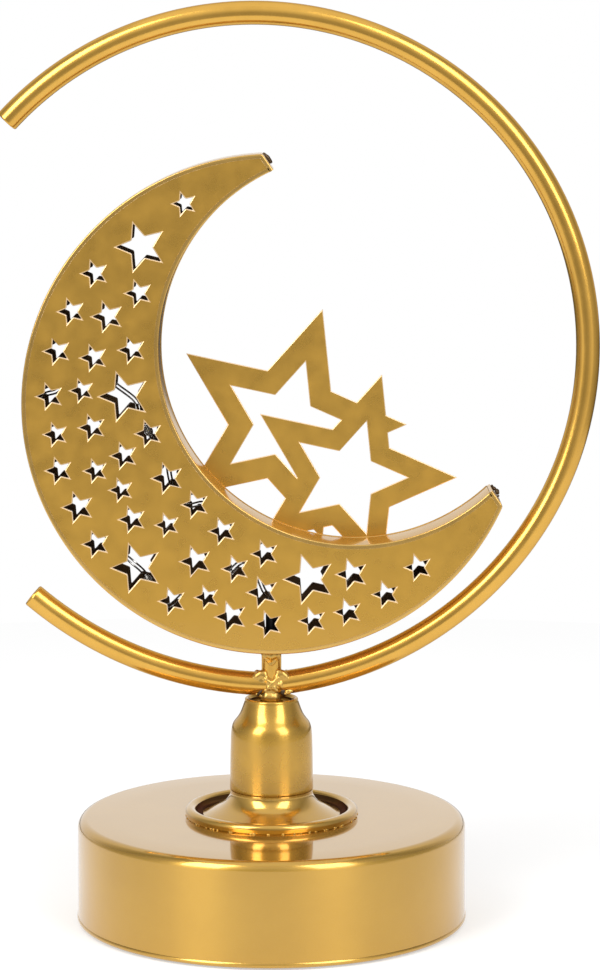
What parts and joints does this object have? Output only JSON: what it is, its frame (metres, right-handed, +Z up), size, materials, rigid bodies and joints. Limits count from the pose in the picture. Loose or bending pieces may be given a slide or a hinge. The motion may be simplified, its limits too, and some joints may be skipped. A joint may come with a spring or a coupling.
{
  "type": "eid crescent ornament",
  "caption": "Standing metal table ornament: an open ring round a hollow, star-pierced crescent with overlapping stars in its bay, on a round base that holds cells and a switch.",
  "frame": {"origin": "on the table, midway between the ring's left and right side and between the base's front and back; the strut stands 7.39 mm left of it", "axes": "+Z up along the strut, front plate and bay seen from -Y, crescent's belly towards -X"},
  "size_m": [0.1564, 0.1024, 0.241],
  "materials": {
    "gold_base": "satin gold lacquer with a bright top",
    "gold_spun": "semi-gloss gold lacquer",
    "gold_tube": "glossy gold lacquer",
    "gold_rim": "glossy pale gold lacquer",
    "gold_plate": "satin gold lacquer",
    "gold_weld": "lacquered weld",
    "cover_plastic": "moulded, fine texture",
    "black_plastic": "moulded",
    "foot_rubber": "matte",
    "plain_steel": "bare sheet",
    "zinc_steel": "zinc plated",
    "nickel_steel": "nickel plated",
    "cell_jacket": "printed film, left plain",
    "wire_jacket": "wire insulation",
    "lead_jacket": "wire insulation",
    "silver_wire": "bare tinned wire",
    "clear_resin": "clear cured resin"
  },
  "bodies": {
    "stand": {"base_can": "gold_base", "base_cover": "cover_plastic", "rubber_feet": "foot_rubber", "cover_brackets": "plain_steel", "cover_screws": "zinc_steel", "cell_near": "cell_jacket", "cell_far": "cell_jacket", "contact_plates": "nickel_steel", "contact_springs": "nickel_steel", "switch_housing": "plain_steel", "switch_pins": "nickel_steel", "base_wires": "wire_jacket", "lead_wire": "lead_jacket", "stud_washer": "zinc_steel", "stud_nut": "zinc_steel", "stem_stud": "zinc_steel", "stem_plate": "plain_steel", "foot_flange": "gold_spun", "stem_bell": "gold_spun", "strut_tube": "gold_tube", "ring_long_arc": "gold_tube", "ring_short_arc": "gold_tube", "ring_welds": "gold_weld", "crescent_welds": "gold_weld", "crescent_outer_rim": "gold_rim", "crescent_inner_rim": "gold_rim", "crescent_front_plate": "gold_plate", "crescent_back_plate": "gold_plate", "rim_grommet": "foot_rubber", "lead_sleeve": "black_plastic", "light_wires": "silver_wire", "light_drops": "clear_resin", "star_sheet": "gold_plate", "sheet_welds": "gold_weld"},
    "door": {"cell_door": "cover_plastic"},
    "slider": {"switch_slider": "black_plastic"}
  },
  "joints": [
    {"name": "door_slide", "type": "slide", "parent": "stand", "child": "door", "axis": [1, 0, 0], "range_m": [0, 0.004]},
    {"name": "switch_slide", "type": "slide", "parent": "stand", "child": "slider", "axis": [1, 0, 0], "range_m": [0, 0.0025]}
  ]
}
